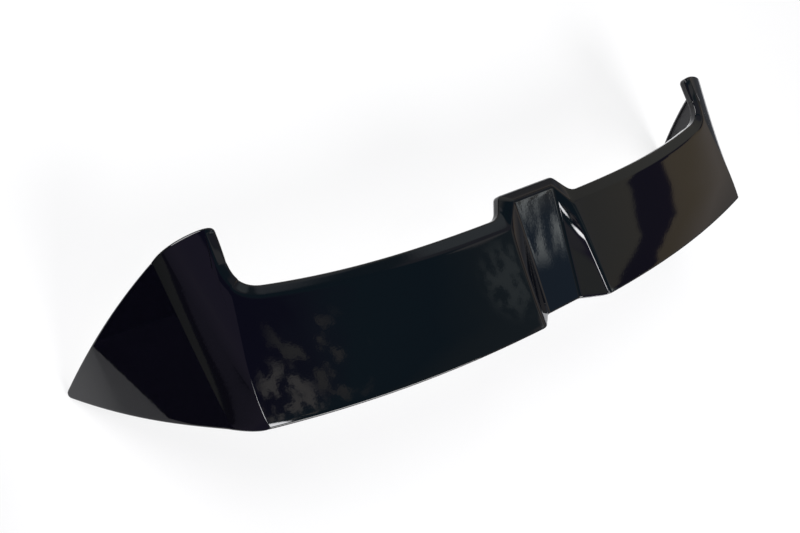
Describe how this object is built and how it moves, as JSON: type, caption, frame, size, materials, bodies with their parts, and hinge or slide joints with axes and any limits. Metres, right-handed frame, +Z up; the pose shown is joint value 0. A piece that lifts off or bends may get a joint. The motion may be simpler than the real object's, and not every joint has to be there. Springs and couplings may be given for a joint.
{
  "type": "car roof spoiler",
  "caption": "Wide moulded roof spoiler with a crowned panel, a stepped trough and nose at the middle, curved cut-outs and flared triangular end plates.",
  "frame": {"origin": "centre of the bonding land's lower face, under the trough floor at the middle of the spoiler", "axes": "+X across the car to the right as seen from behind it, +Y to the front of the car, +Z up and square to the bonding land"},
  "size_m": [1.1986, 0.257, 0.25],
  "materials": {
    "spoiler": "piano black, high gloss"
  },
  "bodies": {
    "root": {"spoiler": "spoiler"}
  },
  "joints": []
}
